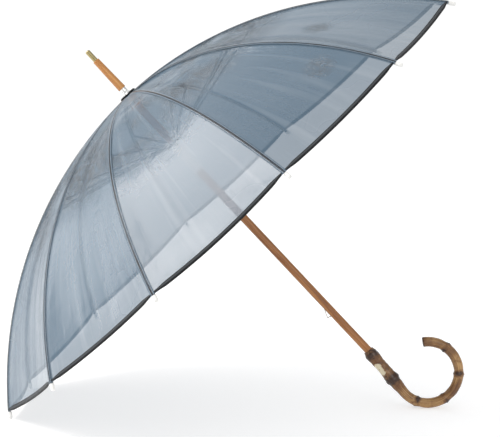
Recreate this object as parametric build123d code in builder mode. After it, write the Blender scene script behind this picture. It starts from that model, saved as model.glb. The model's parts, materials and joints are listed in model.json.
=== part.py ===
"""Stick umbrella with a clear film canopy, a wooden shaft and a bamboo root crook, lying open on a floor.

Every piece is drawn in the umbrella's own frame: the shaft is the Z axis, +Z points to the ferrule, and the
ribs pivot at height zero. The whole umbrella is then laid down so that it rests on two rib tips and the crook.
"""

from build123d import *
from math import asin, atan2, cos, degrees, hypot, radians, sin, tan
import os

# Driving dimensions, in millimetres and degrees
rib_count = 12
rim_radius = 520
canopy_depth = 250
start_slope = 1.5
pivot_radius = 12
joint_share = 0.42
closed_tip_radius = 20

film_thickness = 0.4
film_lift = 2.8
film_seam_gap = 0.3
film_top_radius = 6.5
film_bands = 8
binding_width = 7
binding_thickness = 1.2

rib_width = 3.6
rib_wall = 0.6
tab_thickness = 1.6
eye_radius = 2.4
eye_hole_radius = 0.85
wire_radius = 0.6
wire_play = 0.1
tab_length = 6
tab_overlap = 3
tab_end_radius = 1.5
lug_drop = 5
lug_spread = 0.3
rivet_radius = 0.75
rivet_head_radius = 1.3
rivet_head_height = 0.6
cheek_thickness = 0.8
cheek_gap = 1.1
strip_height = 3
strip_overlap = 2

tip_ball_radius = 3.4
tip_length = 12
tip_socket_radius = 2.7
tip_socket_depth = 6.5
tip_start = 0.5

shaft_radius = 7
tenon_radius = 4.5
tenon_reach = 5
hub_radius = 15.5
hub_top = 2.4
hub_bottom = -4
slot_width = 2.2
slot_floor_radius = 9.3
runner_bore_radius = 7.3
runner_sleeve_radius = 9
runner_length = 64
window_width = 4.6
window_top = -29
window_bottom = -57

rosette_radius = 15.5
rosette_thickness = 1.1
collar_bottom = 4.6
collar_foot = (9, 1.2)
collar_bend = (6.6, 4.5)
collar_neck = (5.8, 10)
ferrule_bottom = 19
ferrule_top = 85
ferrule_bottom_radius = 7.2
ferrule_top_radius = 5.9
edge_rounding = 0.6
ferrule_tip_top = 107
ferrule_tip_radius = 4.4
ferrule_tip_rounding = 2.2
spigot_radius = 2
spigot_length = 12

handle_top = -603
shaft_bottom = -640
crook_radius = 54
crook_centre_x = 49
crook_centre_z = -702
crook_end_angle = 57
culm_radius = 8.6
crook_end_rounding = 1.5
neck_profile = ((0, 9.6), (9, 11.8), (20, 10.7), (38, 10.2), (54, 10.6), (66, 12.4), (76, 10.2))
knuckle_angles = (206, 260, 314, 371)
knuckle_rise = 1.5
knuckle_sink = 0.4
knuckle_half_length = 6

catch_width = 3
catch_rise = 6
catch_length = 18
catch_pivot = 16.2
catch_lead = 3
catch_crest = 1.5
catch_heel = 0.5
catch_bend = 0.7
catch_stem = 4
catch_strip = 1.1
catch_shoulder = 2.5
catch_boss_radius = 2
catch_slot_width = 3.8
catch_slot_depth = 3.5
catch_slot_margin = 2.2
top_catch_gap = 1.2
bottom_catch_height = -513

pin_radius = 0.9
pin_play = 0.1
pin_inset = 0.3
notch_skirt_radius = 9.3
notch_skirt_bottom = -17
notch_seat = -6
notch_pin_height = -12
scar_distance = 38
scar_depth = 8
scar_turn = 40
scar_length = 24
scar_width = 22
scar_cut = 10
nail_offset = 2
nail_length = 9

# The film's profile over a rib is one circular arc from the pivot radius down to the rim
chord_run = rim_radius - pivot_radius
chord_slope = degrees(atan2(canopy_depth, chord_run))
end_slope = 2 * chord_slope - start_slope
film_arc_radius = hypot(chord_run, canopy_depth) / (2 * sin(radians(end_slope - start_slope) / 2))
rib_arc_radius = film_arc_radius - film_lift
arc_centre_x = pivot_radius - rib_arc_radius * sin(radians(start_slope))
arc_centre_z = -rib_arc_radius * cos(radians(start_slope))


def rib_point(slope, lift=0):
    """The point (x, z) of a rib's upright plane where the rib slopes by this angle, raised outwards by lift."""
    reach = rib_arc_radius + lift
    return arc_centre_x + reach * sin(radians(slope)), arc_centre_z + reach * cos(radians(slope))


def slope_at(distance):
    """The rib's slope at this distance along it from the pivot."""
    return start_slope + degrees(distance / rib_arc_radius)


def upright(x, z, slope):
    """The plane across a rib at a point: its x runs sideways, its y outwards, and its normal along the rib."""
    heading = (cos(radians(slope)), 0, -sin(radians(slope)))
    return Plane(origin=(x, 0, z), x_dir=(0, 1, 0), z_dir=heading)


rib_axis = Axis((arc_centre_x, 0, arc_centre_z), (0, 1, 0))
half_gap = 180 / rib_count

rib_length = radians(end_slope - start_slope) * rib_arc_radius
tip_start_slope = slope_at(rib_length + tip_start)
rib_end_slope = slope_at(rib_length + tip_socket_depth)

# The stretcher is as long as the pivot is far from its joint, so its inner end slides straight along the shaft
joint_slope = start_slope + joint_share * (end_slope - start_slope)
joint_x, joint_z = rib_point(joint_slope, -lug_drop)
stretcher_length = hypot(joint_x - pivot_radius, joint_z)
open_angle = degrees(atan2(joint_x - pivot_radius, -joint_z))
runner_height = 2 * joint_z
tip_x, tip_z = rib_point(slope_at(rib_length + tip_length))
tip_reach = hypot(tip_x - pivot_radius, tip_z)
fold_angle = degrees(atan2(tip_x - pivot_radius, -tip_z) - asin((closed_tip_radius - pivot_radius) / tip_reach))
runner_travel = 2 * stretcher_length * (cos(radians(open_angle - fold_angle)) - cos(radians(open_angle)))


def make_rib():
    """A curved steel channel, open below, with an eye at the top notch and a lug for the stretcher."""
    root_slope = slope_at(tab_length)
    root = rib_point(root_slope)
    with BuildPart() as rib:
        with BuildSketch(upright(*root, root_slope)):
            Rectangle(rib_width, rib_width)
            with Locations((0, -rib_wall)):
                Rectangle(rib_width - 2 * rib_wall, rib_width, mode=Mode.SUBTRACT)
        revolve(axis=rib_axis, revolution_arc=rib_end_slope - root_slope)
        with BuildSketch(Plane.XZ):
            with Locations((pivot_radius, 0)):
                Circle(eye_radius)
            with Locations(rib_point(slope_at(tab_length + tab_overlap))):
                Circle(tab_end_radius)
            make_hull()
            with Locations((pivot_radius, 0)):
                Circle(eye_hole_radius, mode=Mode.SUBTRACT)
        extrude(amount=tab_thickness / 2, both=True)
        with BuildSketch(Plane.XZ):
            with Locations((joint_x, joint_z)):
                Circle(eye_radius)
            with Locations(rib_point(joint_slope - lug_spread), rib_point(joint_slope + lug_spread)):
                Circle(tab_end_radius)
            make_hull()
            with Locations((joint_x, joint_z)):
                Circle(eye_hole_radius, mode=Mode.SUBTRACT)
        extrude(amount=tab_thickness / 2, both=True)
    return rib.part


def make_rib_tip():
    """A round-ended cap with a blind socket for the rib's end."""
    base = upright(*rib_point(tip_start_slope), tip_start_slope)
    barrel = tip_length - tip_ball_radius
    with BuildPart() as tip:
        with BuildSketch(base):
            Circle(tip_ball_radius)
        extrude(amount=barrel)
        with Locations(base.offset(barrel).location):
            Sphere(tip_ball_radius)
        with BuildSketch(base):
            Circle(tip_socket_radius)
        extrude(amount=tip_socket_depth, mode=Mode.SUBTRACT)
    return tip.part


def make_stretcher():
    """A strip with an eye for the runner's wire and a fork that is riveted about the rib's lug."""
    inner = Vector(pivot_radius, runner_height)
    outer = Vector(joint_x, joint_z)
    along = (outer - inner).normalized()
    strip_start = inner + along * tab_length
    strip_end = outer - along * tab_length
    middle = (strip_start + strip_end) / 2
    lean = degrees(atan2(along.Y, along.X))
    with BuildPart() as stretcher:
        with BuildSketch(Plane.XZ):
            with Locations(Location((middle.X, middle.Y), lean)):
                Rectangle((strip_end - strip_start).length, strip_height)
        extrude(amount=cheek_gap + cheek_thickness, both=True)
        with BuildSketch(Plane.XZ):
            with Locations(Location((middle.X, middle.Y), lean) * Location((0, -rib_wall))):
                Rectangle((strip_end - strip_start).length - 2 * tab_length, strip_height)
        extrude(amount=cheek_gap, both=True, mode=Mode.SUBTRACT)
        with BuildSketch(Plane.XZ):
            with Locations((inner.X, inner.Y)):
                Circle(eye_radius)
            with Locations(strip_start + along * strip_overlap):
                Circle(strip_height / 2)
            make_hull()
            with Locations((inner.X, inner.Y)):
                Circle(eye_hole_radius, mode=Mode.SUBTRACT)
        extrude(amount=tab_thickness / 2, both=True)
        for side in (1, -1):
            cheek = Plane.XZ.offset(side * (cheek_gap + cheek_thickness / 2))
            with BuildSketch(cheek):
                with Locations((outer.X, outer.Y)):
                    Circle(eye_radius)
                with Locations(strip_end - along * strip_overlap):
                    Circle(strip_height / 2)
                make_hull()
                with Locations((outer.X, outer.Y)):
                    Circle(rivet_radius, mode=Mode.SUBTRACT)
            extrude(amount=cheek_thickness / 2, both=True)
    return stretcher.part


def make_rivet():
    """The rivet through a fork, with a low head on each side."""
    grip = cheek_gap + cheek_thickness
    with BuildPart() as rivet:
        with BuildSketch(Plane.XZ):
            with Locations((joint_x, joint_z)):
                Circle(rivet_radius)
        extrude(amount=grip, both=True)
        for side in (1, -1):
            with BuildSketch(Plane.XZ.offset(side * (grip + rivet_head_height / 2))):
                with Locations((joint_x, joint_z)):
                    Circle(rivet_head_radius)
            extrude(amount=rivet_head_height / 2, both=True)
    return rivet.part


def gore_point(slope, lift):
    """A point (x, z) of the film's profile half way between two ribs, where the film is straight across."""
    x, z = rib_point(slope, lift)
    return x * cos(radians(half_gap)), z


def gore_band(first_slope, last_slope, inner_lift, outer_lift):
    """A curved band between two ribs, from one rib slope to another and between two heights over the ribs."""
    middle_slope = (first_slope + last_slope) / 2
    wedge_start = film_seam_gap / sin(radians(half_gap))
    wedge_length = 1.1 * rim_radius
    wedge_side = (wedge_length - wedge_start) * tan(radians(half_gap))
    with BuildPart() as band:
        with BuildSketch(Plane.XZ):
            with BuildLine():
                inner = [gore_point(s, inner_lift) for s in (first_slope, middle_slope, last_slope)]
                outer = [gore_point(s, outer_lift) for s in (first_slope, middle_slope, last_slope)]
                ThreePointArc(*inner)
                ThreePointArc(*outer)
                Line(inner[0], outer[0])
                Line(inner[2], outer[2])
            make_face()
        extrude(amount=wedge_side, both=True)
        with BuildSketch(Plane.XY.offset(-2 * canopy_depth)):
            Polygon(
                (wedge_start, 0),
                (wedge_length, -wedge_side),
                (wedge_length, wedge_side),
                align=None,
            )
        extrude(amount=3 * canopy_depth, mode=Mode.INTERSECT)
    return band.part


def make_panel():
    """One gore of film, as short bands that meet edge to edge, and the tape bound round its hem."""
    top_slope = degrees(asin((film_top_radius - arc_centre_x) / rib_arc_radius))
    tape_slope = slope_at(rib_length - binding_width)
    band_slope = (tape_slope - top_slope) / film_bands
    middle_lift = film_lift + film_thickness / 2
    solids = []
    for number in range(film_bands):
        first_slope = top_slope + number * band_slope
        band = gore_band(first_slope, first_slope + band_slope, film_lift, film_lift + film_thickness)
        solids.append(band)
    tape = gore_band(
        tape_slope, end_slope, middle_lift - binding_thickness / 2, middle_lift + binding_thickness / 2
    )
    solids.append(tape)
    return solids


def make_hinge_space(height):
    """What a hub leaves free: a radial slot for each hinge eye, and the groove that the hinge wire lies in."""
    depth = hub_radius + 1 - slot_floor_radius
    groove = 2 * wire_radius + wire_play
    with BuildPart() as space:
        with BuildSketch(Plane.XY.offset(height + hub_bottom)):
            with PolarLocations(slot_floor_radius + depth / 2, rib_count, start_angle=half_gap):
                Rectangle(depth, slot_width)
        extrude(amount=hub_top - hub_bottom)
        with BuildSketch(Plane.XY.offset(height - groove / 2)):
            Circle(hub_radius + 1)
            Circle(pivot_radius - groove / 2, mode=Mode.SUBTRACT)
        extrude(amount=groove)
    return space.part


def make_wire(height):
    """The ring of wire that the hinge eyes turn on."""
    with BuildPart() as wire:
        with Locations((0, 0, height)):
            Torus(pivot_radius, wire_radius)
    return wire.part


def make_catch(ramp):
    """A sprung catch: a bent strip that stands out of the shaft, with its ramp towards +Z or -Z of its peak."""
    with BuildPart() as catch:
        with BuildSketch(Plane.XZ):
            outline = Polygon(
                (-catch_stem, ramp * catch_length),
                (-shaft_radius, ramp * (catch_length - catch_lead)),
                (-shaft_radius - catch_rise, ramp * catch_crest),
                (-shaft_radius - catch_rise, -ramp * catch_heel),
                (-shaft_radius, -ramp * catch_shoulder),
                (-catch_stem, -ramp * catch_shoulder),
                align=None,
            )
            fillet(outline.vertices(), catch_bend)
            offset(outline, amount=-catch_strip, mode=Mode.SUBTRACT)
            with Locations((-catch_stem, ramp * catch_pivot)):
                Circle(catch_boss_radius)
                Circle(pin_radius + pin_play, mode=Mode.SUBTRACT)
        extrude(amount=catch_width / 2, both=True)
    return catch.part


def make_catch_slot(height, ramp):
    """The slot in the shaft that a catch folds into."""
    heel = height - ramp * (catch_shoulder + catch_slot_margin)
    toe = height + ramp * (catch_length + catch_slot_margin)
    low, high = sorted((heel, toe))
    with BuildPart() as slot:
        with BuildSketch(Plane.XY.offset(low)):
            with Locations(((catch_slot_depth - shaft_radius - 1) / 2, 0)):
                Rectangle(shaft_radius + 1 + catch_slot_depth, catch_slot_width)
        extrude(amount=high - low)
    return slot.part


def make_cross_pin(x, height, length):
    """A pin along Y, centred on the shaft's upright plane."""
    with BuildPart() as pin:
        with BuildSketch(Plane.XZ):
            with Locations((x, height)):
                Circle(pin_radius)
        extrude(amount=length / 2, both=True)
    return pin.part


def make_nail():
    """The nail that goes through the crook's scar and into the shaft."""
    with BuildPart() as nail:
        with BuildSketch(Plane(origin=nail_foot, z_dir=scar_normal)):
            Circle(pin_radius)
        extrude(amount=-nail_length)
    return nail.part


top_catch_height = runner_height - runner_length - top_catch_gap - catch_shoulder
catches = {"top_catch": (top_catch_height, -1), "bottom_catch": (bottom_catch_height, 1)}

# The crook's neck leaves the shaft's end straight and meets the crook's circle at a tangent
crook_distance = hypot(crook_centre_x, handle_top - crook_centre_z)
neck_length = (crook_distance**2 - crook_radius**2) ** 0.5
neck_lean = degrees(asin(crook_radius / crook_distance) - atan2(crook_centre_x, handle_top - crook_centre_z))
neck_direction = Vector(-sin(radians(neck_lean)), 0, -cos(radians(neck_lean)))
neck_top = Vector(0, 0, handle_top)
neck_plane = Plane(origin=neck_top, x_dir=neck_direction, z_dir=(0, 1, 0))
crook_start_angle = 180 - neck_lean
crook_centre = Vector(crook_centre_x, 0, crook_centre_z)
scar_normal = Vector(-cos(radians(scar_turn)), -sin(radians(scar_turn)), 0)
scar_centre = neck_top + neck_direction * scar_distance + scar_normal * scar_depth
scar_plane = Plane(origin=scar_centre, x_dir=(0, 0, 1), z_dir=scar_normal)
nail_foot = scar_centre + scar_plane.y_dir * nail_offset


def crook_point(angle):
    """A point on the crook's centre line, by its angle about the crook's centre in the XZ plane."""
    return crook_centre + Vector(cos(radians(angle)), 0, sin(radians(angle))) * crook_radius


def make_handle():
    """The bamboo root crook: a thick knuckled neck and a round hook with a ring at each node."""
    ring_start = (-knuckle_half_length, culm_radius - knuckle_sink)
    ring_end = (knuckle_half_length, culm_radius - knuckle_sink)
    with BuildPart() as handle:
        with BuildSketch(neck_plane):
            with BuildLine():
                Line((0, 0), neck_profile[0])
                Spline(*neck_profile, (neck_length, culm_radius))
                Line((neck_length, culm_radius), (neck_length, 0))
                Line((neck_length, 0), (0, 0))
            make_face()
        revolve(axis=Axis(neck_top, neck_direction), revolution_arc=360)
        with BuildSketch(Plane(origin=crook_point(crook_start_angle), z_dir=neck_direction)):
            Circle(culm_radius)
        revolve(
            axis=Axis(crook_centre, (0, -1, 0)), revolution_arc=crook_end_angle + 360 - crook_start_angle
        )
        end_face = handle.faces().sort_by_distance(crook_point(crook_end_angle))[0]
        fillet(end_face.edges(), crook_end_rounding)
        for angle in knuckle_angles:
            tangent = Vector(-sin(radians(angle)), 0, cos(radians(angle)))
            with BuildSketch(Plane(origin=crook_point(angle), x_dir=tangent, z_dir=(0, 1, 0))):
                with BuildLine():
                    Line((-knuckle_half_length, 0), ring_start)
                    ThreePointArc(ring_start, (0, culm_radius + knuckle_rise), ring_end)
                    Line(ring_end, (knuckle_half_length, 0))
                    Line((knuckle_half_length, 0), (-knuckle_half_length, 0))
                make_face()
            revolve(axis=Axis(crook_point(angle), tangent), revolution_arc=360)
        with BuildSketch(scar_plane):
            SlotOverall(scar_length, scar_width)
        extrude(amount=scar_cut, mode=Mode.SUBTRACT)
        with BuildSketch(Plane.XY.offset(handle_top + 1)):
            Circle(shaft_radius)
        extrude(amount=shaft_bottom - handle_top - 1, mode=Mode.SUBTRACT)
        add(nail, mode=Mode.SUBTRACT)
    return handle.part


nail = make_nail()
notch_pin = make_cross_pin(0, notch_pin_height, 2 * notch_skirt_radius)
catch_pin_length = 2 * ((shaft_radius**2 - catch_stem**2) ** 0.5 - pin_inset)
catch_pins = [
    make_cross_pin(-catch_stem, height + ramp * catch_pivot, catch_pin_length) for height, ramp in catches.values()
]
pins = [nail, notch_pin, *catch_pins]

with BuildPart() as shaft:
    with BuildSketch(Plane.XY.offset(shaft_bottom)):
        Circle(shaft_radius)
    extrude(amount=notch_seat - shaft_bottom)
    with BuildSketch(Plane.XY.offset(notch_seat)):
        Circle(tenon_radius)
    extrude(amount=ferrule_bottom + tenon_reach - notch_seat)
    for height, ramp in catches.values():
        add(make_catch_slot(height, ramp), mode=Mode.SUBTRACT)
    for pin in pins:
        add(pin, mode=Mode.SUBTRACT)

with BuildPart() as top_notch:
    with BuildSketch(Plane.XY.offset(hub_bottom)):
        Circle(hub_radius)
    extrude(amount=hub_top - hub_bottom)
    with BuildSketch(Plane.XY.offset(notch_skirt_bottom)):
        Circle(notch_skirt_radius)
    extrude(amount=hub_bottom - notch_skirt_bottom)
    with BuildSketch(Plane.XY.offset(notch_skirt_bottom)):
        Circle(shaft_radius)
    extrude(amount=notch_seat - notch_skirt_bottom, mode=Mode.SUBTRACT)
    with BuildSketch(Plane.XY.offset(notch_seat)):
        Circle(tenon_radius)
    extrude(amount=hub_top - notch_seat, mode=Mode.SUBTRACT)
    add(make_hinge_space(0), mode=Mode.SUBTRACT)
    add(notch_pin, mode=Mode.SUBTRACT)

with BuildPart() as rosette:
    with BuildSketch(Plane.XY.offset(collar_bottom - rosette_thickness)):
        Circle(rosette_radius)
        Circle(tenon_radius, mode=Mode.SUBTRACT)
    extrude(amount=rosette_thickness)
    fillet(rosette.edges().group_by(Axis.Z)[-1].sort_by(SortBy.RADIUS)[-1], edge_rounding)

collar_height = ferrule_bottom - collar_bottom
with BuildPart() as ferrule_collar:
    with BuildSketch(Plane(origin=(0, 0, collar_bottom), x_dir=(1, 0, 0), z_dir=(0, -1, 0))):
        with BuildLine():
            Line((tenon_radius, 0), (collar_foot[0], 0))
            Line((collar_foot[0], 0), collar_foot)
            ThreePointArc(collar_foot, collar_bend, collar_neck)
            Line(collar_neck, (collar_neck[0], collar_height))
            Line((collar_neck[0], collar_height), (tenon_radius, collar_height))
            Line((tenon_radius, collar_height), (tenon_radius, 0))
        make_face()
    revolve(axis=Axis.Z, revolution_arc=360)

with BuildPart() as ferrule:
    with BuildSketch(Plane.XZ):
        Polygon(
            (0, ferrule_bottom),
            (ferrule_bottom_radius, ferrule_bottom),
            (ferrule_top_radius, ferrule_top),
            (0, ferrule_top),
            align=None,
        )
    revolve(axis=Axis.Z, revolution_arc=360)
    fillet(ferrule.edges().filter_by(GeomType.CIRCLE), edge_rounding)
    with BuildSketch(Plane.XY.offset(ferrule_bottom)):
        Circle(tenon_radius)
    extrude(amount=tenon_reach, mode=Mode.SUBTRACT)
    with BuildSketch(Plane.XY.offset(ferrule_top)):
        Circle(spigot_radius)
    extrude(amount=-spigot_length, mode=Mode.SUBTRACT)

with BuildPart() as ferrule_tip:
    with BuildSketch(Plane.XY.offset(ferrule_top)):
        Circle(ferrule_tip_radius)
    extrude(amount=ferrule_tip_top - ferrule_top)
    fillet(ferrule_tip.edges().group_by(Axis.Z)[-1], ferrule_tip_rounding)
    with BuildSketch(Plane.XY.offset(ferrule_top - spigot_length)):
        Circle(spigot_radius)
    extrude(amount=spigot_length)

with BuildPart() as runner:
    with BuildSketch(Plane.XY.offset(runner_height + hub_bottom)):
        Circle(hub_radius)
    extrude(amount=hub_top - hub_bottom)
    with BuildSketch(Plane.XY.offset(runner_height - runner_length)):
        Circle(runner_sleeve_radius)
    extrude(amount=runner_length + hub_top)
    with BuildSketch(Plane.XY.offset(runner_height - runner_length)):
        Circle(runner_bore_radius)
    extrude(amount=runner_length + hub_top, mode=Mode.SUBTRACT)
    add(make_hinge_space(runner_height), mode=Mode.SUBTRACT)
    with BuildSketch(Plane.XY.offset(runner_height + window_bottom)):
        with Locations((-runner_sleeve_radius, 0)):
            Rectangle(4 * (runner_sleeve_radius - runner_bore_radius), window_width)
    extrude(amount=window_top - window_bottom, mode=Mode.SUBTRACT)

# Each node's solids, still in the umbrella's own frame
pieces = {
    "shaft": [shaft.part],
    "handle": [make_handle()],
    "fixing_pins": pins,
    "top_notch": [top_notch.part, make_wire(0)],
    "rosette": [rosette.part],
    "ferrule_collar": [ferrule_collar.part],
    "ferrule": [ferrule.part],
    "ferrule_tip": [ferrule_tip.part],
    "runner": [runner.part, make_wire(runner_height)],
}
for name, (height, ramp) in catches.items():
    pieces[name] = [make_catch(ramp).moved(Location((0, 0, height)))]

rib, rib_tip, stretcher, rivet, panel = make_rib(), make_rib_tip(), make_stretcher(), make_rivet(), make_panel()
for number in range(rib_count):
    turn = Location((0, 0, 0), (0, 0, 180 + half_gap * (2 * number + 1)))
    next_half = turn * Location((0, 0, 0), (0, 0, half_gap))
    pieces[f"rib_{number + 1:02d}"] = [rib.moved(turn)]
    pieces[f"rib_tip_{number + 1:02d}"] = [rib_tip.moved(turn)]
    pieces[f"stretcher_{number + 1:02d}"] = [stretcher.moved(turn), rivet.moved(turn)]
    pieces[f"canopy_panel_{number + 1:02d}"] = [solid.moved(next_half) for solid in panel]

# The umbrella leans until the two lowest rib tips and the underside of the crook touch one level floor
ball_x, ball_z = rib_point(slope_at(rib_length + tip_start + tip_length - tip_ball_radius))
ball_x *= -cos(radians(half_gap))
run_x = crook_centre_x - ball_x
run_z = ball_z - crook_centre_z
crook_outer = crook_radius + culm_radius
shaft_slope = degrees(atan2(run_x, run_z) - asin((crook_outer - tip_ball_radius) / hypot(run_x, run_z)))
lying = Location((0, 0, 0), (0, shaft_slope - 90, 0))

laid = {name: [solid.moved(lying) for solid in solids] for name, solids in pieces.items()}
box = Compound([solid for solids in laid.values() for solid in solids]).bounding_box()
standing = Location((-box.center().X, -box.center().Y, -box.min.Z))

os.makedirs("parts", exist_ok=True)
for name, solids in laid.items():
    placed = [solid.moved(standing) for solid in solids]
    node = placed[0] if len(placed) == 1 else Compound(placed)
    node.label = name
    export_step(node, f"parts/{name}.step")
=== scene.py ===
"""A stick umbrella with a clear film canopy, lying open: its film, hem binding, seams, crook and finishes."""

import json
import math

import bpy
from mathutils import Matrix, Vector, noise


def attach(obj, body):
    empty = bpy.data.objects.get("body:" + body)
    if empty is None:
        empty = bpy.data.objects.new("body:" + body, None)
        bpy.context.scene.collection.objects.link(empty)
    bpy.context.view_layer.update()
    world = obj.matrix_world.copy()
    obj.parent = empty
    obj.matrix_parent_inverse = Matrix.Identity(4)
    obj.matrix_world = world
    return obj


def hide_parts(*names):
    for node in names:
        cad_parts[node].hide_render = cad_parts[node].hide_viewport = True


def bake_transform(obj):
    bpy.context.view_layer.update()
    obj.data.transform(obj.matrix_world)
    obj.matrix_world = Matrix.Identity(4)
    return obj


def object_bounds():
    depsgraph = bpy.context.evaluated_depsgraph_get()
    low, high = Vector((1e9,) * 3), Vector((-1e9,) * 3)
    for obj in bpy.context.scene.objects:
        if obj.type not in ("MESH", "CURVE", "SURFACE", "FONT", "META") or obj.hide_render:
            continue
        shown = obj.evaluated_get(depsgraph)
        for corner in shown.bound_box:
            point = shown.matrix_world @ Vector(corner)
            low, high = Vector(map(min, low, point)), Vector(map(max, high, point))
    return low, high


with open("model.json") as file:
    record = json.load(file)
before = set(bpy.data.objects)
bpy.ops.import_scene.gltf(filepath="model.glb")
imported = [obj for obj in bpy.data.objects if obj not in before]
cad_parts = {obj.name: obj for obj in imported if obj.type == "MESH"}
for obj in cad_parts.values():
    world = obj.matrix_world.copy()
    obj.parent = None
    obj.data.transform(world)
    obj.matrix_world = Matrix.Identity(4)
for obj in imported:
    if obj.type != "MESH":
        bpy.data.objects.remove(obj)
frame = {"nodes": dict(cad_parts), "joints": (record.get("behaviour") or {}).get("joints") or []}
cad_low, cad_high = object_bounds()

# noise_vector's offsets come from a generator that would otherwise start from the clock
NOISE_SEED = 5
noise.seed_set(NOISE_SEED)

# The canopy's own sizes, in metres and radians, as the frame was drawn
RIB_COUNT = 12
RIM_RADIUS = 0.520
CANOPY_DEPTH = 0.250
START_SLOPE = math.radians(1.5)
FILM_LIFT = 0.0030
FILM_TOP_RADIUS = 0.0065
FILM_SAG = 0.022
CAD_FILM_LIFT = 0.0028
HEM_BOW = 0.0015
FRONT_HEM_BOW = 0.0045
FRONT_GORE = 2
SEAM_WIDTH = 0.0088
SEAM_LIFT = 0.0003
SEAM_RIDGE = 0.0008
SEAM_PROFILE = (
    (-0.5, 0.0),
    (-0.3, 0.06),
    (-0.14, 0.3),
    (-0.06, 0.85),
    (0.0, 1.0),
    (0.06, 0.85),
    (0.14, 0.3),
    (0.3, 0.06),
    (0.5, 0.0),
)
BINDING_WIDTH = 0.0086
BINDING_THICKNESS = 0.0030
BINDING_INSET = 0.012
BINDING_OVERHANG = 0.0012
ROSETTE_INNER = 0.0094
ROSETTE_OUTER = 0.0155
ROSETTE_PROFILE = (
    (0.0094, 0.0036),
    (0.0125, 0.0034),
    (0.0150, 0.0036),
    (0.0156, 0.0046),
    (0.0152, 0.0060),
    (0.0130, 0.0070),
    (0.0106, 0.0073),
    (0.0094, 0.0064),
)
ROSETTE_PLEATS = 22

# The film's unevenness: heights in metres, noise scales per metre, and where along a rib it was folded
CRUMPLE_HEIGHT, CRUMPLE_SCALE = 0.0024, 24
RIPPLE_HEIGHT, RIPPLE_ACROSS, RIPPLE_ALONG = 0.0011, 34, 3.0
WAVE_HEIGHT, WAVE_ACROSS, WAVE_ALONG = 0.0034, 8, 5
FOLD_PLACE, FOLD_WANDER, FOLD_SPREAD = 0.2, 0.03, 0.055
HELD_SHARE = 0.16
HEM_FLAT_FROM, HEM_FLAT_AT = 0.54, 0.585

# How finely the soft pieces are meshed
GORE_ROWS = 92
GORE_COLUMNS = 44
ROW_CROWDING = 0.92
BINDING_STEPS, BINDING_SPOKES = 40, 16
SEAM_STEPS = 96
CROOK_STEPS, CROOK_SPOKES = 330, 56
ROSETTE_SPOKES = 144

# The crook's own sizes: a knuckled neck, then a round hook with a ring at each node
HANDLE_TOP = -0.603
CROOK_X = 0.049
CROOK_Z = -0.702
CROOK_RADIUS = 0.054
CROOK_END = 57
CULM_RADIUS = 0.0086
NECK_PROFILE = (
    (0, 0.0096),
    (0.009, 0.0118),
    (0.020, 0.0107),
    (0.038, 0.0102),
    (0.054, 0.0106),
    (0.066, 0.0124),
    (0.076, 0.0102),
    (0.0964, 0.0086),
)
KNUCKLE_ANGLES = (206, 260, 314, 371)
SCAR_DISTANCE = 0.038
SCAR_DEPTH = 0.0075
SCAR_TURN = math.radians(47)
SCAR_HALF_LENGTH = 0.0125
SCAR_HALF_WIDTH = 0.0095
SCAR_TILT = 0.1
LUMP_HEIGHT, SMALL_LUMP_HEIGHT, LUMP_SCALE = 0.0013, 0.0006, 75
KNUCKLE_HEIGHT, KNUCKLE_SPREAD = 0.0016, 0.0026
GROOVE_DEPTH, GROOVE_OFFSET, GROOVE_SPREAD = 0.0005, 0.0075, 0.004

# The crook's ends, as distances from each end and shares of the radius there
CROOK_BODY_START = 0.0014
CROOK_BODY_STOP = 0.0022
CROOK_TOP_RINGS = ((0.0, 0.72), (0.0, 0.86), (0.0002, 0.95), (0.0008, 0.99))
CROOK_END_RINGS = (
    (0.0012, 0.975),
    (0.0005, 0.91),
    (0.0001, 0.82),
    (0.0, 0.72),
    (0.0004, 0.5),
    (0.0005, 0.25),
    (0.0005, 0.02),
)

# Scorched places on the neck: strength, distance along the crook, spread
NECK_SCORCHES = ((0.3, 0.009, 0.007), (0.42, 0.066, 0.008))

# The umbrella's own directions come from its joints: UP runs along the shaft to the ferrule
joints = {joint["name"]: joint for joint in frame["joints"]}
UP = -Vector(joints["runner_slide"]["axis"]).normalized()
ACROSS = Vector((0, 1, 0))
SIDE = ACROSS.cross(UP).normalized()
pivots = [Vector(joints[f"rib_{k:02d}_hinge"]["pos_m"]) for k in range(1, RIB_COUNT + 1)]
HUB = sum(pivots, Vector()) / RIB_COUNT
PIVOT_RADIUS = (pivots[0] - HUB).length
headings = [(pivot - HUB).normalized() for pivot in pivots]
UMBRELLA = Matrix((SIDE, ACROSS, UP)).transposed()

# A rib's arc runs from its pivot down to the rim, just under the arc that the CAD film lies on
chord_run = RIM_RADIUS - PIVOT_RADIUS
END_SLOPE = 2 * math.atan2(CANOPY_DEPTH, chord_run) - START_SLOPE
film_arc_radius = math.hypot(chord_run, CANOPY_DEPTH) / (2 * math.sin((END_SLOPE - START_SLOPE) / 2))
ARC_RADIUS = film_arc_radius - CAD_FILM_LIFT
ARC_X = PIVOT_RADIUS - ARC_RADIUS * math.sin(START_SLOPE)
ARC_Z = -ARC_RADIUS * math.cos(START_SLOPE)
TOP_SLOPE = math.asin((FILM_TOP_RADIUS - ARC_X) / ARC_RADIUS)
HALF_GAP = math.pi / RIB_COUNT

# Where the film is crumpled apart from the band it was folded at, with bumped creases and painted shade along
# them: gore, share across, slope in degrees, reach
CRUMPLED = (
    (3, 0.8, 42, 0.03),
    (3, 0.45, 23, 0.045),
    (4, 0.4, 36, 0.03),
    (1, 0.6, 24, 0.04),
    (0, 0.5, 27, 0.05),
)


def smooth_step(low, high, value):
    """0 below low, 1 above high, and a soft rise between."""
    t = min(1.0, max(0.0, (value - low) / (high - low)))
    return t * t * (3 - 2 * t)


def bump_at(value, centre, width):
    """A smooth bump of height 1."""
    return math.exp(-(((value - centre) / width) ** 2))


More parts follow.
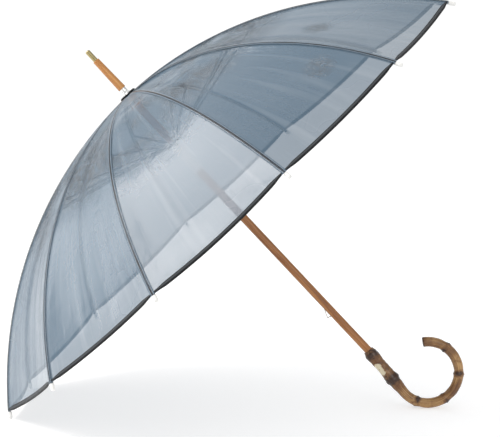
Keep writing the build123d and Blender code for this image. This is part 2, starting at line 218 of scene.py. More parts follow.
def rib_place(slope, lift):
    """How far from the shaft's axis, and how far along it, the canopy is where a rib slopes by this angle."""
    reach = ARC_RADIUS + lift
    return ARC_X + reach * math.sin(slope), ARC_Z + reach * math.cos(slope)


def over_rib(k, slope, lift, sideways=0.0):
    """A point over rib k, raised outwards by lift and moved sideways."""
    radius, height = rib_place(slope, lift)
    return HUB + headings[k] * radius + UP * height + UP.cross(headings[k]) * sideways


def crease(u, slope, k):
    """How far the film stands off its smooth shape: packing folds and crumples, none at the ribs or hem."""
    along = (slope - TOP_SLOPE) * ARC_RADIUS
    free = smooth_step(0.0, HELD_SHARE, u) * smooth_step(0.0, HELD_SHARE, 1 - u)
    free *= smooth_step(HEM_FLAT_AT, HEM_FLAT_FROM, along)
    across = (u - 0.5) * 2 * HALF_GAP * rib_place(slope, 0)[0]
    # The third coordinate takes each gore to its own part of the noise
    spot = Vector((across * CRUMPLE_SCALE, along * CRUMPLE_SCALE, k * 7.3))
    crumple = 1 - 2 * abs(noise.noise(spot + 0.7 * noise.noise_vector(spot * 0.6)))
    band = bump_at(along - FOLD_PLACE, FOLD_WANDER * math.sin(k * 2.1), FOLD_SPREAD)
    ripple = noise.noise(Vector((across * RIPPLE_ACROSS, along * RIPPLE_ALONG, k * 3.7 + 20)))
    wave = noise.noise(Vector((across * WAVE_ACROSS, along * WAVE_ALONG, k * 5.1 + 40)))
    return free * (CRUMPLE_HEIGHT * band * crumple + RIPPLE_HEIGHT * ripple + WAVE_HEIGHT * wave)


def film_point(k, u, slope, lift):
    """A point of the film between rib k (u = 0) and the next one (u = 1)."""
    radius, height = rib_place(slope, lift)
    here, there = headings[k], headings[(k + 1) % RIB_COUNT]
    middle = (here + there).normalized()
    outward = middle * math.sin(slope) + UP * math.cos(slope)
    width = 2 * radius * math.sin(HALF_GAP)
    bulge = 4 * u * (1 - u)
    point = HUB + (here * (1 - u) + there * u) * radius + UP * height
    return point + outward * (crease(u, slope, k) - FILM_SAG * width * bulge)


def hem_slope(k, u):
    """Where the film ends: the hem bows a little between the ribs, and most on the front gore."""
    bow = FRONT_HEM_BOW if k == FRONT_GORE else HEM_BOW
    return END_SLOPE + bow / ARC_RADIUS * 4 * u * (1 - u)


def new_piece(name, vertices, faces, finish, uvs=None):
    """A smooth mesh object with one material."""
    mesh = bpy.data.meshes.new(name)
    mesh.from_pydata(vertices, [], faces)
    mesh.polygons.foreach_set("use_smooth", [True] * len(mesh.polygons))
    if uvs is not None:
        layer = mesh.uv_layers.new(name="UVMap")
        for loop in mesh.loops:
            layer.data[loop.index].uv = uvs[loop.vertex_index]
    mesh.materials.append(finish)
    mesh.update()
    piece = bpy.data.objects.new(name, mesh)
    bpy.context.scene.collection.objects.link(piece)
    return piece


def grid_faces(rows, columns, closed=False, ring=False):
    """Quads of a grid of points, row by row; closed joins its last column to its first, ring its last row."""
    faces = []
    for row in range(rows if ring else rows - 1):
        here, there = row * columns, (row + 1) % rows * columns
        for column in range(columns if closed else columns - 1):
            after = (column + 1) % columns
            faces.append((here + column, here + after, there + after, there + column))
    return faces


# Materials; places on the film are distances from the shaft's axis, in metres
CROWN_START, CROWN_STOP = 0.02, 0.06
CROWN_ALPHA, FILM_ALPHA, CREASE_ALPHA = 0.5, 0.8, 0.93
CREASED_START, CREASED_FULL, CREASED_FADE, CREASED_STOP = 0.11, 0.18, 0.25, 0.32
CRUMPLED_STRENGTH = 0.75
DEEP_FILM, PALE_FILM = (0.060, 0.112, 0.166), (0.088, 0.144, 0.2)
# The fold tint is a painted highlight along the fold streaks; the crease tint is painted shade along the
# crease lines.
FOLD_HIGHLIGHT_TINT, CREASE_SHADE_TINT = (0.2, 0.25, 0.3), (0.008, 0.014, 0.022)
FILM_BUMP = 0.0022
# Where across the bound tape its painted highlight runs, on the crest
TAPE_HIGHLIGHT_PLACE = 0.24


def new_material(name, color=(0.5, 0.5, 0.5), **settings):
    """A Principled material with its nodes, links and shader; settings are named after its sockets."""
    made = bpy.data.materials.new(name)
    made.use_nodes = True
    nodes, links = made.node_tree.nodes, made.node_tree.links
    shader = nodes["Principled BSDF"]
    shader.inputs["Base Color"].default_value = (*color, 1)
    for label, value in settings.items():
        shader.inputs[label.replace("_", " ").title()].default_value = value
    return made, nodes, links, shader


def umbrella_coordinates(nodes, links, scale):
    """Object coordinates turned so that Z runs along the shaft from the hub, then scaled."""
    source = nodes.new("ShaderNodeTexCoord")
    turn = nodes.new("ShaderNodeMapping")
    turn.vector_type = "TEXTURE"
    turn.inputs["Location"].default_value = HUB
    turn.inputs["Rotation"].default_value = UMBRELLA.to_euler()
    links.new(source.outputs["Object"], turn.inputs["Vector"])
    stretch = nodes.new("ShaderNodeMapping")
    stretch.inputs["Scale"].default_value = scale
    links.new(turn.outputs["Vector"], stretch.inputs["Vector"])
    return stretch.outputs["Vector"]


def add_noise(nodes, links, vector, scale, detail=4.0, roughness=0.55, distortion=0.0):
    """A noise texture's factor."""
    texture = nodes.new("ShaderNodeTexNoise")
    texture.inputs["Scale"].default_value = scale
    texture.inputs["Detail"].default_value = detail
    texture.inputs["Roughness"].default_value = roughness
    texture.inputs["Distortion"].default_value = distortion
    links.new(vector, texture.inputs["Vector"])
    return texture.outputs["Fac"]


def add_ramp(nodes, links, value, stops):
    """A colour ramp through (place, colour) stops."""
    ramp = nodes.new("ShaderNodeValToRGB")
    elements = ramp.color_ramp.elements
    elements[0].position, elements[0].color = stops[0][0], (*stops[0][1], 1)
    elements[1].position, elements[1].color = stops[-1][0], (*stops[-1][1], 1)
    for place, color in stops[1:-1]:
        element = elements.new(place)
        element.color = (*color, 1)
    links.new(value, ramp.inputs["Fac"])
    return ramp.outputs["Color"]


def add_range(nodes, links, value, low, high, new_low, new_high):
    """A value carried from one range to another, and kept in it."""
    fit = nodes.new("ShaderNodeMapRange")
    labels = ("From Min", "From Max", "To Min", "To Max")
    for label, number in zip(labels, (low, high, new_low, new_high), strict=True):
        fit.inputs[label].default_value = number
    links.new(value, fit.inputs["Value"])
    return fit.outputs["Result"]


def add_math(nodes, links, operation, first, second=0.0):
    """A math node of one or two sockets or numbers."""
    node = nodes.new("ShaderNodeMath")
    node.operation = operation
    for socket, value in zip(node.inputs, (first, second), strict=False):
        if isinstance(value, bpy.types.NodeSocket):
            links.new(value, socket)
        else:
            socket.default_value = value
    return node.outputs["Value"]


def add_bump(nodes, links, shader, height, distance, strength=1.0):
    """A bump of this real height on the shader."""
    bump = nodes.new("ShaderNodeBump")
    bump.inputs["Distance"].default_value = distance
    bump.inputs["Strength"].default_value = strength
    links.new(height, bump.inputs["Height"])
    links.new(bump.outputs["Normal"], shader.inputs["Normal"])


def distance_from_axis(nodes, links, vector):
    """How far a point is from the shaft's axis, in umbrella coordinates."""
    flat = nodes.new("ShaderNodeVectorMath")
    flat.operation = "MULTIPLY"
    flat.inputs[1].default_value = (1, 1, 0)
    links.new(vector, flat.inputs[0])
    length = nodes.new("ShaderNodeVectorMath")
    length.operation = "LENGTH"
    links.new(flat.outputs["Vector"], length.inputs[0])
    return length.outputs["Value"]


def add_product(nodes, links, first, *others):
    """The product of several values."""
    for other in others:
        first = add_math(nodes, links, "MULTIPLY", first, other)
    return first


def add_weighted(nodes, links, *parts):
    """The sum of several (value, weight) parts."""
    total = None
    for value, weight in parts:
        part = add_product(nodes, links, value, weight)
        total = part if total is None else add_math(nodes, links, "ADD", total, part)
    return total


def add_gap(nodes, links, value, centre):
    """How far a value is from a centre, on either side."""
    return add_math(nodes, links, "ABSOLUTE", add_math(nodes, links, "SUBTRACT", value, centre))


def add_mix(nodes, links, factor, first, second):
    """Two colours mixed by a factor; each is a socket or a colour."""
    mix = nodes.new("ShaderNodeMix")
    mix.data_type = "RGBA"
    links.new(factor, mix.inputs["Factor"])
    for label, value in (("A", first), ("B", second)):
        if isinstance(value, bpy.types.NodeSocket):
            links.new(value, mix.inputs[label])
        else:
            mix.inputs[label].default_value = (*value, 1)
    return mix.outputs["Result"]


def uv_coordinates(nodes, links, scale):
    """The piece's own UV coordinates, which are in metres, scaled."""
    source = nodes.new("ShaderNodeUVMap")
    stretch = nodes.new("ShaderNodeMapping")
    stretch.inputs["Scale"].default_value = scale
    links.new(source.outputs["UV"], stretch.inputs["Vector"])
    return stretch.outputs["Vector"]


def add_ridges(nodes, links, vector, scale, width):
    """Thin creased lines, 1 on a line and 0 away from it."""
    field = add_noise(nodes, links, vector, scale, 5.0, 0.6, 1.6)
    return add_range(nodes, links, add_gap(nodes, links, field, 0.5), 0.0, width, 1.0, 0.0)


def add_nearness(nodes, links, vector, place, radius):
    """1 close to a place in umbrella coordinates, 0 beyond this radius."""
    gap = nodes.new("ShaderNodeVectorMath")
    gap.operation = "DISTANCE"
    gap.inputs[1].default_value = UMBRELLA.transposed() @ (place - HUB)
    links.new(vector, gap.inputs[0])
    return add_range(nodes, links, gap.outputs["Value"], radius * 0.35, radius, 1.0, 0.0)


def make_film_material():
    """Smoky clear film: milky, glossy, and creased where it was folded away, with painted highlights along
    its folds and painted shade along its creases.
    """
    made, nodes, links, shader = new_material("film_smoke")
    shader.inputs["Specular IOR Level"].default_value = 0.62
    vector = umbrella_coordinates(nodes, links, (1, 1, 1))
    radius = distance_from_axis(nodes, links, vector)
    cloudy = add_noise(nodes, links, vector, 5.0, 3.0)
    folds_and_highlights = add_noise(nodes, links, uv_coordinates(nodes, links, (46, 2.6, 1)), 1.0, 2.0, 0.5, 0.5)
    creases = add_ridges(nodes, links, uv_coordinates(nodes, links, (1.5, 0.75, 1)), 30.0, 0.065)
    small = add_ridges(nodes, links, vector, 52.0, 0.035)
    near = add_range(nodes, links, radius, CREASED_START, CREASED_FULL, 0.0, 1.0)
    far = add_range(nodes, links, radius, CREASED_FADE, CREASED_STOP, 1.0, 0.0)
    patch = add_range(nodes, links, add_noise(nodes, links, vector, 9.0, 2.0), 0.38, 0.5, 0.0, 1.0)
    where = add_product(nodes, links, near, far, patch)
    for gore, u, slope, reach in CRUMPLED:
        spot = film_point(gore, u, math.radians(slope), FILM_LIFT)
        nearness = add_nearness(nodes, links, vector, spot, reach)
        nearness = add_product(nodes, links, nearness, CRUMPLED_STRENGTH)
        where = add_math(nodes, links, "MAXIMUM", where, nearness)
    creases_and_painted_shade = add_product(nodes, links, add_math(nodes, links, "MAXIMUM", creases, small), where)
    drift = add_noise(nodes, links, vector, 3.1, 2.0)
    tint = add_ramp(nodes, links, drift, [(0.3, DEEP_FILM), (0.7, PALE_FILM)])
    # Painted highlight: the fold streaks are lightened towards the fold tint.
    tint = add_mix(nodes, links, add_range(nodes, links, folds_and_highlights, 0.55, 0.75, 0.0, 0.32), tint, FOLD_HIGHLIGHT_TINT)
    # Painted shade: the crease lines and crumpled spots are darkened towards the crease tint.
    tint = add_mix(nodes, links, add_product(nodes, links, creases_and_painted_shade, 0.92), tint, CREASE_SHADE_TINT)
    links.new(tint, shader.inputs["Base Color"])
    body = add_range(nodes, links, radius, CROWN_START, CROWN_STOP, CROWN_ALPHA, FILM_ALPHA)
    drawn = add_product(nodes, links, creases_and_painted_shade, CREASE_ALPHA)
    links.new(add_math(nodes, links, "MAXIMUM", body, drawn), shader.inputs["Alpha"])
    links.new(add_range(nodes, links, cloudy, 0.35, 0.65, 0.2, 0.3), shader.inputs["Roughness"])
    wrinkles = add_noise(nodes, links, vector, 42.0, 4.0, 0.55, 0.8)
    height = add_weighted(nodes, links, (creases_and_painted_shade, 0.3), (wrinkles, 0.3), (folds_and_highlights, 0.3))
    add_bump(nodes, links, shader, height, FILM_BUMP)
    return made


def make_seam_material():
    """The film's seam over a rib: a dark line with a painted highlight as a pale edge on each side that fades
    into the film.
    """
    made, nodes, links, shader = new_material("film_seam", roughness=0.16)
    place = nodes.new("ShaderNodeSeparateXYZ")
    links.new(uv_coordinates(nodes, links, (1 / SEAM_WIDTH, 1, 1)), place.inputs["Vector"])
    across = add_math(nodes, links, "ABSOLUTE", place.outputs["X"])
    # Painted highlight: the pale bands beside the dark line stand in for glints along the seam's ridge.
    profile = add_ramp(
        nodes,
        links,
        add_math(nodes, links, "MULTIPLY", across, 2.0),
        [
            (0.0, (0.012, 0.017, 0.023)),
            (0.34, (0.016, 0.022, 0.03)),
            (0.46, (0.2, 0.245, 0.29)),
            (0.6, (0.16, 0.2, 0.245)),
            (0.72, (0.08, 0.13, 0.18)),
            (1.0, (0.08, 0.13, 0.18)),
        ],
    )
    vector = umbrella_coordinates(nodes, links, (1, 1, 1))
    worn = add_range(nodes, links, add_noise(nodes, links, vector, 30.0, 3.0), 0.45, 0.7, 0.0, 0.4)
    links.new(add_mix(nodes, links, worn, profile, (0.08, 0.12, 0.165)), shader.inputs["Base Color"])
    links.new(add_range(nodes, links, across, 0.25, 0.5, 0.94, 0.5), shader.inputs["Alpha"])
    shader.inputs["Specular IOR Level"].default_value = 0.22
    add_bump(nodes, links, shader, add_noise(nodes, links, vector, 220.0), 0.0005)
    return made


def make_binding_material():
    """Near-black bound tape with a fine rib across it and a paler painted highlight along its crest."""
    made, nodes, links, shader = new_material("hem_binding", roughness=0.38)
    wave = nodes.new("ShaderNodeTexWave")
    wave.inputs["Scale"].default_value = 1.0
    wave.inputs["Distortion"].default_value = 0.4
    links.new(uv_coordinates(nodes, links, (320, 320, 1)), wave.inputs["Vector"])
    vector = umbrella_coordinates(nodes, links, (1, 1, 1))
    stops = [(0.3, (0.006, 0.007, 0.008)), (0.72, (0.018, 0.02, 0.022))]
    tint = add_ramp(nodes, links, add_noise(nodes, links, vector, 90.0), stops)
    place = nodes.new("ShaderNodeSeparateXYZ")
    links.new(uv_coordinates(nodes, links, (1, 1 / BINDING_WIDTH, 1)), place.inputs["Vector"])
    # Painted highlight: a paler band along the tape's crest.
    off_highlight = add_gap(nodes, links, place.outputs["Y"], TAPE_HIGHLIGHT_PLACE)
    crest_highlight = add_range(nodes, links, off_highlight, 0.03, 0.085, 0.8, 0.0)
    links.new(add_mix(nodes, links, crest_highlight, tint, (0.06, 0.066, 0.072)), shader.inputs["Base Color"])
    shader.inputs["Specular IOR Level"].default_value = 0.12
    add_bump(nodes, links, shader, wave.outputs["Fac"], 0.0002)
    return made


def make_bamboo_material():
    """Smoked bamboo root: streaked tan, scorched dark at its nodes and knuckles, with one pale cut."""
    made, nodes, links, shader = new_material("bamboo_root", roughness=0.3)
    streaks = add_noise(nodes, links, uv_coordinates(nodes, links, (520, 22, 1)), 1.0, 5.0, 0.6, 0.4)
    vector = umbrella_coordinates(nodes, links, (1, 1, 1))
    patches = add_noise(nodes, links, vector, 95.0, 4.0, 0.62, 1.2)
    wide = add_noise(nodes, links, vector, 24.0, 2.0)
    tone = add_weighted(nodes, links, (streaks, 0.45), (wide, 0.55))
    stops = [(0.38, (0.10, 0.04, 0.012)), (0.5, (0.22, 0.105, 0.032)), (0.62, (0.42, 0.245, 0.095))]
    tint = add_ramp(nodes, links, tone, stops)
    rings = nodes.new("ShaderNodeAttribute")
    rings.attribute_name = "scorched"
    scorch = add_math(nodes, links, "ADD", rings.outputs["Fac"], add_product(nodes, links, patches, 0.9))
    browned = add_range(nodes, links, scorch, 0.5, 0.68, 0.0, 0.75)
    tint = add_mix(nodes, links, browned, tint, (0.13, 0.05, 0.014))
    burnt = add_range(nodes, links, scorch, 0.7, 0.95, 0.0, 0.95)
    tint = add_mix(nodes, links, burnt, tint, (0.030, 0.010, 0.003))
    cut = nodes.new("ShaderNodeAttribute")
    cut.attribute_name = "cut"
    grain = add_ramp(nodes, links, streaks, [(0.35, (0.5, 0.4, 0.24)), (0.6, (0.78, 0.7, 0.52))])
    links.new(add_mix(nodes, links, cut.outputs["Fac"], tint, grain), shader.inputs["Base Color"])
    links.new(add_range(nodes, links, cut.outputs["Fac"], 0.0, 1.0, 0.26, 0.6), shader.inputs["Roughness"])
    shader.inputs["Specular IOR Level"].default_value = 0.4
    shader.inputs["Coat Weight"].default_value = 0.2
    shader.inputs["Coat Roughness"].default_value = 0.12
    height = add_weighted(nodes, links, (streaks, 0.6), (patches, 0.8))
    add_bump(nodes, links, shader, height, 0.0006)
    return made


def make_wood_material(name, dark, middle, light, gloss):
    """Varnished wood with long streaks along the shaft."""
    made, nodes, links, shader = new_material(name, roughness=gloss)
    vector = umbrella_coordinates(nodes, links, (1, 1, 0.035))
    streaks = add_noise(nodes, links, vector, 420.0, 6.0, 0.62, 0.3)
    wide = add_noise(nodes, links, umbrella_coordinates(nodes, links, (1, 1, 0.12)), 60.0, 3.0)
    mixed = add_weighted(nodes, links, (streaks, 0.6), (wide, 0.4))
    tint = add_ramp(nodes, links, mixed, [(0.36, dark), (0.5, middle), (0.64, light)])
    links.new(tint, shader.inputs["Base Color"])
    shader.inputs["Specular IOR Level"].default_value = 0.35
    shader.inputs["Coat Weight"].default_value = 0.2
    shader.inputs["Coat Roughness"].default_value = 0.12
    add_bump(nodes, links, shader, streaks, 0.00025)
    return made


def make_metal_material(name, color, roughness, scratch_scale, tarnish):
    """Metal with fine scratches and a duller tone in patches."""
    made, nodes, links, shader = new_material(name, metallic=1.0)
    vector = umbrella_coordinates(nodes, links, (1, 1, 0.2))
    patches = add_noise(nodes, links, vector, scratch_scale / 6, 3.0)
    scratches = add_noise(nodes, links, vector, scratch_scale, 5.0)
    dull = tuple(channel * tarnish for channel in color)
    links.new(add_ramp(nodes, links, patches, [(0.32, dull), (0.62, color)]), shader.inputs["Base Color"])
    brushed = add_range(nodes, links, scratches, 0.3, 0.7, roughness, roughness + 0.15)
    links.new(brushed, shader.inputs["Roughness"])
    add_bump(nodes, links, shader, scratches, 0.0001)
    return made


def make_plastic_material(name, color, roughness, mottle):
    """Moulded plastic with a faint mottle and a fine grain."""
    made, nodes, links, shader = new_material(name, roughness=roughness)
    vector = umbrella_coordinates(nodes, links, (1, 1, 1))
    shade = tuple(channel * mottle for channel in color)
    mottled = add_noise(nodes, links, vector, 160.0)
    links.new(add_ramp(nodes, links, mottled, [(0.3, shade), (0.7, color)]), shader.inputs["Base Color"])
    add_bump(nodes, links, shader, add_noise(nodes, links, vector, 1400.0, 2.0), 0.00008)
    return made


film_finish = make_film_material()
seam_finish = make_seam_material()
binding_finish = make_binding_material()
shaft_wood = make_wood_material(
    "shaft_wood", (0.19, 0.066, 0.016), (0.33, 0.128, 0.034), (0.46, 0.205, 0.068), 0.34
)
ferrule_wood = make_wood_material(
    "ferrule_wood", (0.34, 0.13, 0.03), (0.48, 0.205, 0.055), (0.62, 0.3, 0.1), 0.3
)
bamboo = make_bamboo_material()
silver = make_metal_material("silver_metal", (0.82, 0.82, 0.81), 0.16, 900.0, 0.7)
brass = make_metal_material("brass", (0.46, 0.38, 0.19), 0.2, 900.0, 0.6)
steel = make_metal_material("frame_steel", (0.36, 0.37, 0.38), 0.28, 700.0, 0.6)
spring_steel = make_metal_material("spring_steel", (0.3, 0.27, 0.23), 0.25, 900.0, 0.6)
pin_steel = make_metal_material("pin_steel", (0.2, 0.18, 0.16), 0.35, 900.0, 0.6)
white_plastic = make_plastic_material("white_plastic", (0.86, 0.86, 0.84), 0.4, 0.9)
runner_plastic = make_plastic_material("runner_plastic", (0.8, 0.8, 0.79), 0.38, 0.88)
tip_plastic = make_plastic_material("tip_plastic", (0.78, 0.78, 0.76), 0.3, 0.86)

node_finishes = {
    "shaft": shaft_wood,
    "fixing_pins": pin_steel,
    "top_notch": white_plastic,
    "ferrule_collar": silver,
    "ferrule": ferrule_wood,
    "ferrule_tip": brass,
    "runner": runner_plastic,
    "top_catch": spring_steel,
    "bottom_catch": spring_steel,
}
for k in range(1, RIB_COUNT + 1):
    node_finishes[f"rib_{k:02d}"] = steel
    node_finishes[f"stretcher_{k:02d}"] = steel
    node_finishes[f"rib_tip_{k:02d}"] = tip_plastic
for name, finish in node_finishes.items():
    slots = frame["nodes"][name].data.materials
    slots.clear()
    slots.append(finish)

# The canopy: one gore of film between each two ribs, with its bound hem and the seam over its rib
gore_width = 2 * RIM_RADIUS * math.sin(HALF_GAP)
gore_length = (END_SLOPE - TOP_SLOPE) * ARC_RADIUS


def gather(piece):
    """Bake the piece's placement into its mesh."""
    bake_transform(piece)


def make_film(k):
    """One gore of film, from under the rosette to the hem."""
    vertices, uvs, shares = [], [], []
    for row in range(GORE_ROWS + 1):
        v = (row / GORE_ROWS) ** ROW_CROWDING
        for column in range(GORE_COLUMNS + 1):
            u = column / GORE_COLUMNS
            slope = TOP_SLOPE + (hem_slope(k, u) - TOP_SLOPE) * v
            vertices.append(film_point(k, u, slope, FILM_LIFT))
            uvs.append(((k + u) * gore_width, v * gore_length))
            shares.append(u)
    faces = grid_faces(GORE_ROWS + 1, GORE_COLUMNS + 1)
    film = new_piece(f"film_{k + 1:02d}", vertices, faces, film_finish, uvs)
    gather(film)
    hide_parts(f"canopy_panel_{k + 1:02d}")
    return film


def make_binding(k):
    """The tape folded round the hem: a lens-shaped strip that narrows and stops short of each rib tip."""
    steps = BINDING_STEPS
    vertices, uvs, shares = [], [], []
    for step in range(steps + 1):
        u = BINDING_INSET + (1 - 2 * BINDING_INSET) * step / steps
        end_taper = min(1.0, 0.35 + 8 * min(step, steps - step) / steps)
        for spoke in range(BINDING_SPOKES):
            turn = 2 * math.pi * spoke / BINDING_SPOKES
            inwards = BINDING_WIDTH * (0.5 + 0.5 * math.cos(turn) * end_taper) - BINDING_OVERHANG
            lift = FILM_LIFT + BINDING_THICKNESS / 2 * math.sin(turn) * (0.55 + 0.45 * end_taper)
            vertices.append(film_point(k, u, hem_slope(k, u) - inwards / ARC_RADIUS, lift))
            uvs.append((u * gore_width, spoke / BINDING_SPOKES * BINDING_WIDTH))
            shares.append(u)
    faces = grid_faces(steps + 1, BINDING_SPOKES, closed=True)
    faces.append(tuple(reversed(range(BINDING_SPOKES))))
    faces.append(tuple(steps * BINDING_SPOKES + spoke for spoke in range(BINDING_SPOKES)))
    binding = new_piece(f"binding_{k + 1:02d}", vertices, faces, binding_finish, uvs)
    gather(binding)
    return binding


def make_seam(k):
    """The seam over a rib: a strip of doubled film with a low ridge along its middle."""
    vertices, uvs = [], []
    for step in range(SEAM_STEPS + 1):
        slope = TOP_SLOPE + (END_SLOPE - TOP_SLOPE) * step / SEAM_STEPS
        radius = rib_place(slope, 0)[0]
        width = min(SEAM_WIDTH, 1.6 * radius * math.sin(HALF_GAP))
        for place, rise in SEAM_PROFILE:
            lift = FILM_LIFT + SEAM_LIFT + SEAM_RIDGE * rise
            vertices.append(over_rib(k, slope, lift, place * width))
            uvs.append((place * SEAM_WIDTH, step / SEAM_STEPS * gore_length))
    faces = grid_faces(SEAM_STEPS + 1, len(SEAM_PROFILE))
    seam = new_piece(f"seam_{k + 1:02d}", vertices, faces, seam_finish, uvs)
    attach(seam, f"rib_{k + 1:02d}")
    return seam


for k in range(RIB_COUNT):
    film, binding, seam = make_film(k), make_binding(k), make_seam(k)

# The crook, along its centre line from the top of the neck to the blunt end
crook_distance = math.hypot(CROOK_X, HANDLE_TOP - CROOK_Z)
neck_length = math.sqrt(crook_distance**2 - CROOK_RADIUS**2)
neck_lean = math.asin(CROOK_RADIUS / crook_distance) - math.atan2(CROOK_X, HANDLE_TOP - CROOK_Z)
neck_direction = Vector((-math.sin(neck_lean), 0, -math.cos(neck_lean)))
crook_start = math.pi - neck_lean
crook_length = neck_length + CROOK_RADIUS * (math.radians(CROOK_END + 360) - crook_start)
knuckle_turns = [math.radians(angle) - crook_start for angle in KNUCKLE_ANGLES]
knuckle_places = [neck_length + CROOK_RADIUS * turn for turn in knuckle_turns]
scar_normal = Vector((-math.cos(SCAR_TURN), -math.sin(SCAR_TURN), 0))
scar_centre = Vector((0, 0, HANDLE_TOP)) + neck_direction * SCAR_DISTANCE + scar_normal * SCAR_DEPTH


def crook_frame(distance):
    """The centre line's point and its outward direction, in umbrella coordinates."""
    angle = crook_start + max(0.0, distance - neck_length) / CROOK_RADIUS
    outward = Vector((math.cos(angle), 0, math.sin(angle)))
    if distance <= neck_length:
        return Vector((0, 0, HANDLE_TOP)) + neck_direction * distance, outward
    return Vector((CROOK_X, 0, CROOK_Z)) + outward * CROOK_RADIUS, outward


def neck_radius(distance):
    """The neck's radius, eased between the profile's points."""
    for (near, first), (far, second) in zip(NECK_PROFILE, NECK_PROFILE[1:], strict=False):
        if distance <= far:
            return first + (second - first) * smooth_step(near, far, distance)
    return CULM_RADIUS


def make_handle():
    """The bamboo root crook, with its lumps, rings, rounded blunt end and one pale cut."""
    rings = list(CROOK_TOP_RINGS)
    body_length = crook_length - CROOK_BODY_STOP - CROOK_BODY_START
    for step in range(CROOK_STEPS + 1):
        rings.append((CROOK_BODY_START + body_length * step / CROOK_STEPS, 1.0))
    rings += [(crook_length - short, share) for short, share in CROOK_END_RINGS]
    vertices, uvs, scorched, cuts = [], [], [], []
    for distance, share in rings:
        centre, outward = crook_frame(distance)
        rough = 1 - 0.8 * smooth_step(0.07, 0.10, distance)
        for spoke in range(CROOK_SPOKES):
            turn = 2 * math.pi * spoke / CROOK_SPOKES
            away = outward * math.cos(turn) + Vector((0, 1, 0)) * math.sin(turn)
            radius = neck_radius(distance)
            lump = centre * LUMP_SCALE + away * 0.55
            radius += rough * (LUMP_HEIGHT * noise.noise(lump) + SMALL_LUMP_HEIGHT * noise.noise(lump * 2.7))
            scorch = 0.24 * rough
            for strength, place, spread in NECK_SCORCHES:
                scorch += strength * bump_at(distance, place, spread)
            for number, place in enumerate(knuckle_places):
                wander = place + 0.0009 * math.sin(turn + 1.7 * number)
                radius += KNUCKLE_HEIGHT * math.exp(-abs(distance - wander) / KNUCKLE_SPREAD)
                radius -= GROOVE_DEPTH * bump_at(distance, wander + GROOVE_OFFSET, GROOVE_SPREAD)
                side = 0.6 + 0.4 * math.sin(turn * 2 + 2.4 * number)
                scorch += 0.62 * side * bump_at(distance, wander + 0.0012, 0.0052)
            if distance > crook_length - 0.003:
                scorch += 0.35
            point = centre + away * radius * share
            below = scar_centre.z - point.z
            depth = (point - scar_centre).dot(scar_normal) - SCAR_TILT * below
            beside = (point - scar_centre).cross(scar_normal).z
            inside = (below / SCAR_HALF_LENGTH) ** 2 + (beside / SCAR_HALF_WIDTH) ** 2 < 1
            if depth > 0 and inside:
                point -= scar_normal * depth
            vertices.append(HUB + SIDE * point.x + ACROSS * point.y + UP * point.z)
            uvs.append((turn * CULM_RADIUS, distance))
            scorched.append(scorch)
            cuts.append(1.0 if depth > -0.0001 and inside else 0.0)
    faces = grid_faces(len(rings), CROOK_SPOKES, closed=True)
    piece = new_piece("bamboo_crook", vertices, faces, bamboo, uvs)
    for name, values in (("scorched", scorched), ("cut", cuts)):
        piece.data.attributes.new(name, "FLOAT", "POINT").data.foreach_set("value", values)
    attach(piece, "root")
    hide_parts("handle")


def make_rosette():
    """The black gathered cloth ring round the ferrule's foot."""
    vertices, uvs = [], []
    for spoke in range(ROSETTE_SPOKES):
        turn = 2 * math.pi * spoke / ROSETTE_SPOKES
        direction = SIDE * math.cos(turn) + ACROSS * math.sin(turn)
        pleat = math.sin(turn * ROSETTE_PLEATS + 0.6 * math.sin(turn * 3))
        for radius, height in ROSETTE_PROFILE:
            gathered = smooth_step(ROSETTE_INNER, ROSETTE_OUTER, radius)
            lift = height + 0.00035 * pleat * (0.3 + gathered)
            vertices.append(HUB + direction * (radius + 0.0003 * pleat * gathered) + UP * lift)
            uvs.append((turn * 0.012, 0.8 * BINDING_WIDTH))
    faces = grid_faces(ROSETTE_SPOKES, len(ROSETTE_PROFILE), closed=True, ring=True)
    piece = new_piece("rosette_cloth", vertices, faces, binding_finish, uvs)
    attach(piece, "root")
    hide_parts("rosette")


make_handle()
make_rosette()

# The studio: a pale floor, soft lights, and the camera
FLOOR_REACH = 14
FLOOR_GLOW = 0.51
WORLD_DIM, WORLD_BRIGHT, WORLD_SEEN = 0.5, 1.15, 1.05

floor_material, _, _, floor_shader = new_material("studio_floor", (0.62, 0.62, 0.62), roughness=0.8)
floor_shader.inputs["Emission Color"].default_value = (1, 1, 1, 1)
floor_shader.inputs["Emission Strength"].default_value = FLOOR_GLOW
floor_corners = [Vector((x, y, 0)) * FLOOR_REACH for x, y in ((-1, -1), (1, -1), (1, 1), (-1, 1))]
floor = new_piece("studio_floor", floor_corners, [(0, 1, 2, 3)], floor_material)


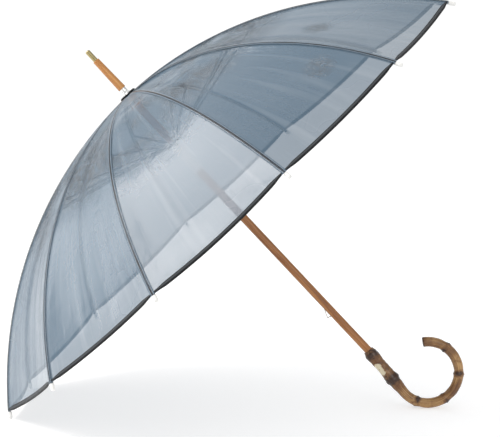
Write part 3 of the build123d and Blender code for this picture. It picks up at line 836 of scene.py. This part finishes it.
def make_world():
    """White to the camera; to the umbrella, a soft studio with brighter and darker parts."""
    world = bpy.data.worlds.new("studio")
    world.use_nodes = True
    nodes, links = world.node_tree.nodes, world.node_tree.links
    background = nodes["Background"]
    source = nodes.new("ShaderNodeTexCoord")
    uneven = add_noise(nodes, links, source.outputs["Generated"], 2.3, 1.0)
    strength = add_range(nodes, links, uneven, 0.38, 0.62, WORLD_DIM, WORLD_BRIGHT)
    rays = nodes.new("ShaderNodeLightPath")
    blend = nodes.new("ShaderNodeMix")
    links.new(rays.outputs["Is Camera Ray"], blend.inputs["Factor"])
    links.new(strength, blend.inputs["A"])
    blend.inputs["B"].default_value = WORLD_SEEN
    links.new(blend.outputs["Result"], background.inputs["Strength"])
    background.inputs["Color"].default_value = (1, 1, 1, 1)
    bpy.context.scene.world = world


make_world()
bpy.context.scene.view_settings.view_transform = "Standard"


def add_light(name, place, width, depth, power, color=(1, 1, 1)):
    """A soft box at place that faces the umbrella, sized in metres; its depth lies along Y."""
    data = bpy.data.lights.new(name, "AREA")
    data.shape = "RECTANGLE"
    data.size = width
    data.size_y = depth
    data.energy = power
    data.color = color
    light = bpy.data.objects.new(name, data)
    away = (Vector(place) - (cad_low + cad_high) / 2).normalized()
    across = ACROSS.cross(away).normalized()
    facing = Matrix((across, away.cross(across), away)).transposed()
    light.matrix_world = Matrix.Translation(place) @ facing.to_4x4()
    bpy.context.scene.collection.objects.link(light)


add_light("wash", (-2.15, -0.3, 2.25), 1.2, 2.5, 62, (1, 0.955, 0.92))
add_light("left", (-3.0, 1.1, 0.95), 1.6, 1.6, 20)
add_light("front", (1.6, -3.0, 1.6), 1.6, 1.6, 14)

CAMERA_AZIMUTH = math.radians(0.968)
CAMERA_ELEVATION = math.radians(6.028)
CAMERA_DISTANCE = 3.5776
CAMERA_AIM = Vector((0.0151, 0, 0.3289))
CAMERA_ROLL = math.radians(0.424)
CAMERA_LENS = 148.99
CAMERA_SENSOR = 36

back = Vector(
    (
        math.sin(CAMERA_AZIMUTH) * math.cos(CAMERA_ELEVATION),
        -math.cos(CAMERA_AZIMUTH) * math.cos(CAMERA_ELEVATION),
        math.sin(CAMERA_ELEVATION),
    )
)
level = Vector((math.cos(CAMERA_AZIMUTH), math.sin(CAMERA_AZIMUTH), 0))
rise = back.cross(level)
right = level * math.cos(CAMERA_ROLL) + rise * math.sin(CAMERA_ROLL)
camera_data = bpy.data.cameras.new("camera")
camera_data.lens = CAMERA_LENS
camera_data.sensor_width = CAMERA_SENSOR
camera = bpy.data.objects.new("camera", camera_data)
turned = Matrix((right, back.cross(right), back)).transposed()
camera.matrix_world = Matrix.Translation(CAMERA_AIM + back * CAMERA_DISTANCE) @ turned.to_4x4()
bpy.context.scene.collection.objects.link(camera)
bpy.context.scene.camera = camera
